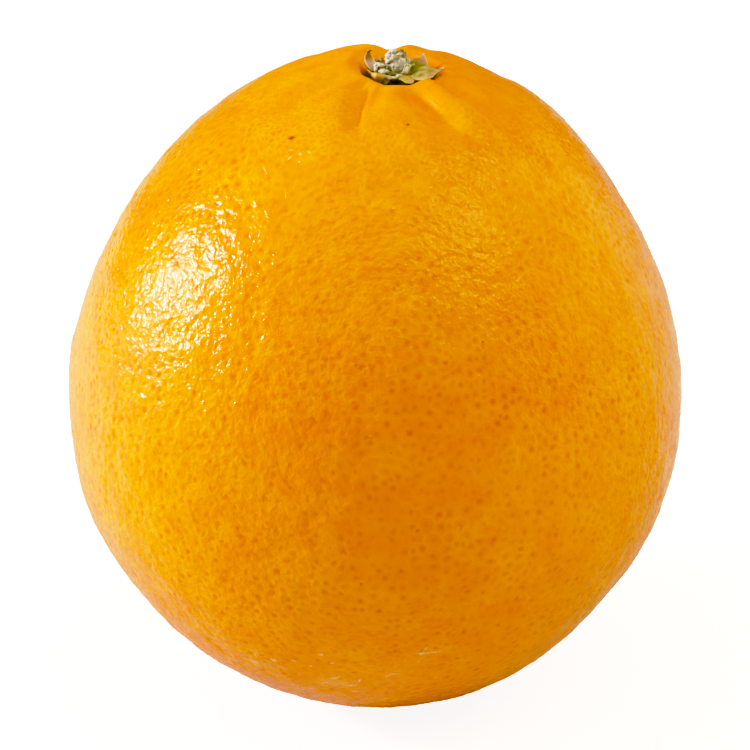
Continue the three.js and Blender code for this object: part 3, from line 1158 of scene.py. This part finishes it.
SEPALS = (
    Sepal(
        "sepal_green_right", "sepal_1", "sepal_green", GREEN_SEPAL, 21.0,
        (
            Rib((1.9, -2.2, 0.3), (2, 0.7, 1.45), 0, "#6a5f1c"),
            Rib((2.6, -4, 0.4), (2.9, 0.7, 1.5), 0.1, "#8c7634"),
            Rib((3.6, -5, 0.7), (3.6, -0.1, 1.4), 0.15, "#a28642"),
            Rib((4.5, -4.6, 0.9), (4.4, -1.5, 1.3), 0.1, "#b48c52"),
            Rib((5.2, -3.3, 1.1), (5.1, -2.2, 1.2), 0.05, "#c49a74"),
            Rib((6.1, -1.9, 1.25), (6.1, -1.7, 1.35), 0, "#d8ae92"),
        ),
    ),
    Sepal(
        "sepal_brown_back", "sepal_2", "sepal_dry", BROWN_SEPAL, 33.0,
        (
            Rib((1.2, 1.3, 0.8), (1, 2, 1.1), 0, "#b07858"),
            Rib((2.2, 1.4, 0.8), (2, 2.3, 1.2), 0.15, "#b87e62"),
            Rib((3.2, 1.4, 0.7), (2.8, 2.5, 1.25), 0.1, "#9c5a40"),
            Rib((4.2, 1.3, 0.65), (3.7, 3, 1.8), -0.1, "#d8a688"),
        ),
        ragged=0.2 * MM,
    ),
    Sepal(
        "sepal_brown_left", "sepal_3", "sepal_dry", BROWN_SEPAL, 44.0,
        (
            Rib((-3, -0.4, 0.5), (-2.3, -0.3, 0.6), 0, "#b8a088"),
            Rib((-3.6, 0, 1.2), (-2.4, 0.3, 1.3), 0.1, "#d8bca4"),
            Rib((-3.9, 0.5, 1.8), (-2.9, 0.9, 2), 0.15, "#c08444"),
            Rib((-3.6, 1.1, 2.4), (-3.2, 1.3, 2.5), 0.1, "#945424"),
            Rib((-3, 1.3, 2.6), (-2.95, 1.35, 2.65), 0, "#3c1c08"),
        ),
    ),
    Sepal(
        "sepal_tan_front", "sepal_4", "sepal_tan", TAN_SEPAL, 55.0,
        (
            Rib((-1.7, -2.2, 0), (-1.6, -1.9, 0.35), -0.1, "#a8742c"),
            Rib((-1.95, -2.75, -0.3), (-1.9, -2, 0.6), -0.7, "#c08838"),
            Rib((-2.35, -2.8, -0.35), (-2.35, -1.95, 0.65), -1, "#d09c48"),
            Rib((-2.75, -2.4, 0), (-2.75, -1.9, 0.68), -0.5, "#d4a050"),
            Rib((-3.05, -1.9, 0.5), (-3.05, -1.78, 0.72), 0, "#e0c490"),
            Rib((-3.6, -1.4, 0.95), (-3.6, -1.35, 1.05), 0, "#e8d0a0"),
        ),
        ragged=0.03 * MM,
        crinkle=0.03 * MM,
    ),
    Sepal(
        "sepal_tan_right", "sepal_5", "sepal_tan", TAN_SEPAL, 66.0,
        (
            Rib((0.3, -2.3, 0.1), (1.2, -1.6, 0.6), 0, "#8a7424"),
            Rib((0.8, -3, 0), (2, -2.2, 0.4), 0.15, "#a88c30"),
            Rib((1.3, -3.6, -0.1), (2.4, -3, 0.25), 0.15, "#b8903c"),
            Rib((2, -3.95, -0.1), (2.3, -3.8, 0.05), 0, "#d8a878"),
        ),
    ),
)


@dataclass
class Calyx:
    """The stem stub and the dried calyx that it stands in."""

    stub: Knobbly = field(
        default_factory=lambda: Knobbly("stem_stub_wood", "stem_stub", "stem_wood", STUB_LUMPS, CREAM_WOOD)
    )
    cup: Knobbly = field(
        default_factory=lambda: Knobbly("calyx_cup", "calyx_disc", "calyx_wood", CUP_LUMPS, CUP_TISSUE)
    )
    sepals: tuple[Sepal, ...] = SEPALS

    def build(self) -> None:
        """Makes the stub, the cup and the sepals on the stem's seat."""
        seat = stem_seat()
        self.stub.build(seat)
        self.cup.build(seat)
        for sepal in self.sepals:
            sepal.build(seat)


# --- The studio ----------------------------------------------------------------------------


def hang(
    name: str, data: bpy.types.ID, aim: Vector, azimuth: float, elevation: float, distance: float
) -> Object:
    """Places a lamp or a camera by its direction from the aim, and turns it to the aim.

    Args:
        name: its name.
        data: the lamp or camera itself.
        aim: the point that it looks at.
        azimuth: the direction round the aim, in degrees from the front.
        elevation: the angle above level, in degrees.
        distance: how far from the aim it is.

    Returns:
        Its object.
    """
    around, up = math.radians(azimuth), math.radians(elevation)
    way = Vector((math.sin(around) * math.cos(up), -math.cos(around) * math.cos(up), math.sin(up)))
    thing = bpy.data.objects.new(name, data)
    thing.location = aim + way * distance
    thing.rotation_euler = (-way).to_track_quat("-Z", "Y").to_euler()
    bpy.context.collection.objects.link(thing)
    return thing


@dataclass
class Softbox:
    """A rectangular soft light, placed by its direction from the fruit."""

    name: str
    azimuth: float
    elevation: float
    distance: float
    width: float
    height: float
    power: float
    colour: str = "#ffffff"

    def build(self, target: Vector) -> None:
        """Hangs the light and turns it to the target."""
        data = bpy.data.lights.new(self.name, "AREA")
        data.shape = "RECTANGLE"
        data.size, data.size_y, data.energy = self.width, self.height, self.power
        data.color = linear(self.colour)[:3]
        hang(self.name, data, target, self.azimuth, self.elevation, self.distance)


@dataclass
class Studio:
    """A pale sweep, soft light from the left and above, and a long lens a little above."""

    lens: float = 135.0
    sensor: float = 36.0
    distance: float = 369.9 * MM
    elevation: float = 23.0
    aim_offset: tuple[float, float, float] = (-0.08 * MM, 0.0, -0.2 * MM)
    floor_size: float = 6.0
    floor_paint: str = "#d2d0cc"
    floor_roughness: float = 0.9
    floor_glow: float = 1.4
    world_colour: str = "#fff2d8"
    world_strength: float = 0.18
    shoulder: tuple[tuple[float, float], ...] = ((0, 0), (0.2, 0.4), (0.36, 0.68), (0.6, 0.86), (1, 1))
    curve_white: float = 2.0
    blue_toe: tuple[tuple[float, float], ...] = ((0, 0), (0.026, 0), (0.06, 0.05), (0.14, 0.134), (1, 1))
    boxes: tuple[Softbox, ...] = (
        Softbox("key_lamp", -93, 21, 0.8, 0.06, 0.1, 7.5),
        Softbox("left_panel", -85, 12, 0.9, 0.9, 0.9, 6.8, "#fff0c8"),
        Softbox("top_softbox", 66, 54, 0.9, 0.38, 0.38, 3.8, "#fff8c8"),
        Softbox("ceiling", -20, 84, 1.2, 1.2, 1.2, 7.1, "#fff8ec"),
        Softbox("side_panel", 106, 6, 0.8, 1.1, 1.1, 6.1, "#fff6b8"),
    )

    def build(self) -> None:
        """Makes the camera, the lights and the floor."""
        low, high = (Vector(corner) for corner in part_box("fruit"))
        centre = (low + high) / 2
        self._camera(centre + Vector(self.aim_offset))
        for box in self.boxes:
            box.build(centre)
        self._floor()
        self._world()
        self._film()

    def _camera(self, aim: Vector) -> None:
        """Places the camera in front of the fruit, looking down a little."""
        data = bpy.data.cameras.new("camera")
        data.lens, data.sensor_width = self.lens, self.sensor
        bpy.context.scene.camera = hang("camera", data, aim, 0.0, self.elevation, self.distance)

    def _floor(self) -> None:
        """Lays the pale floor: matt paint, too rough to mirror the fruit.

        It glows for the camera alone, so it shows nearly white without lighting the peel.
        """
        deselect_all()
        bpy.ops.mesh.primitive_plane_add(size=self.floor_size, location=(0, 0, 0))
        floor = take("studio_floor")
        material, nodes, shader = new_material("matt_white_paint")
        shader.inputs["Base Color"].default_value = linear(self.floor_paint)
        shader.inputs["Roughness"].default_value = self.floor_roughness
        shader.inputs["Emission Color"].default_value = (1, 1, 1, 1)
        seen = add_node(nodes, "LightPath")
        lift = add_node(nodes, "Math", {0: seen, 1: self.floor_glow}, operation="MULTIPLY")
        nodes.links.new(lift, shader.inputs["Emission Strength"])
        floor.data.materials.append(material)

    def _world(self) -> None:
        """Surrounds the scene with even white light."""
        world = bpy.data.worlds.new("white_room")
        world.use_nodes = True
        background = world.node_tree.nodes["Background"]
        background.inputs["Color"].default_value = linear(self.world_colour)
        background.inputs["Strength"].default_value = self.world_strength
        bpy.context.scene.world = world

    def _film(self) -> None:
        """Gives the picture a camera's soft shoulder, so that bright peel goes golden, not pink."""
        view = bpy.context.scene.view_settings
        view.view_transform = "Standard"
        view.use_curve_mapping = True
        mapping = view.curve_mapping
        mapping.white_level = (self.curve_white,) * 3
        for curve, points in ((mapping.curves[2], self.blue_toe), (mapping.curves[3], self.shoulder)):
            curve.points[0].location = points[0]
            curve.points[1].location = points[-1]
            for place in points[1:-1]:
                curve.points.new(*place)
        mapping.update()


def main() -> None:
    """Builds the studio and the fruit, piece by piece."""
    logging.basicConfig(level=logging.INFO, format="%(name)s: %(message)s")
    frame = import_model()
    Studio().build()
    Peel().build(frame["nodes"]["fruit"])
    Calyx().build()


if __name__ == "__main__":
    main()
